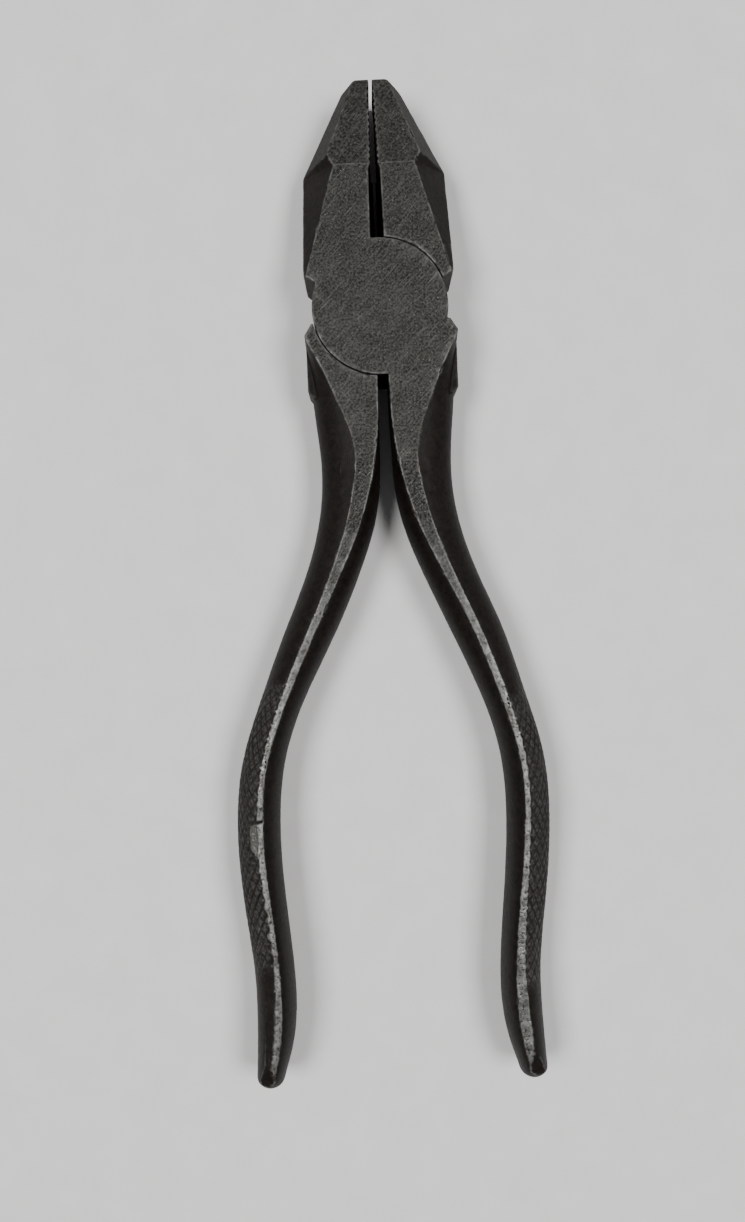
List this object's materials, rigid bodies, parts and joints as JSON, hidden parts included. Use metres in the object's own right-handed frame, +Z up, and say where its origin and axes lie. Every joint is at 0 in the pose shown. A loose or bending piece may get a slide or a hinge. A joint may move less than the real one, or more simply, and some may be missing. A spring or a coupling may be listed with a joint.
{
  "type": "lineman pliers",
  "caption": "Forged steel side-cutting pliers with a tapered flat nose, lap joint and long curved checkered handles.",
  "frame": {"origin": "where the rivet's axis meets the plane that the pliers lie on", "axes": "+Y from the rivet towards the jaw tips along the closing line, +Z up through the thickness, +X to the side of the upper half's handle"},
  "size_m": [0.0639, 0.2019, 0.0127],
  "materials": {
    "forged_steel": "old black oxide, ground flat faces gone grey, edges and handle lands worn bright",
    "rivet_steel": "ground flush and patinated with the joint face"
  },
  "bodies": {
    "lower_body": {"lower_half": "forged_steel", "pivot_rivet": "rivet_steel"},
    "upper_body": {"upper_half": "forged_steel"}
  },
  "joints": [
    {"name": "jaw_pivot", "type": "hinge", "parent": "lower_body", "child": "upper_body", "pos_m": [0, 0, 0.00635], "axis": [0, 0, 1], "range_deg": [-0.65, 34]}
  ]
}
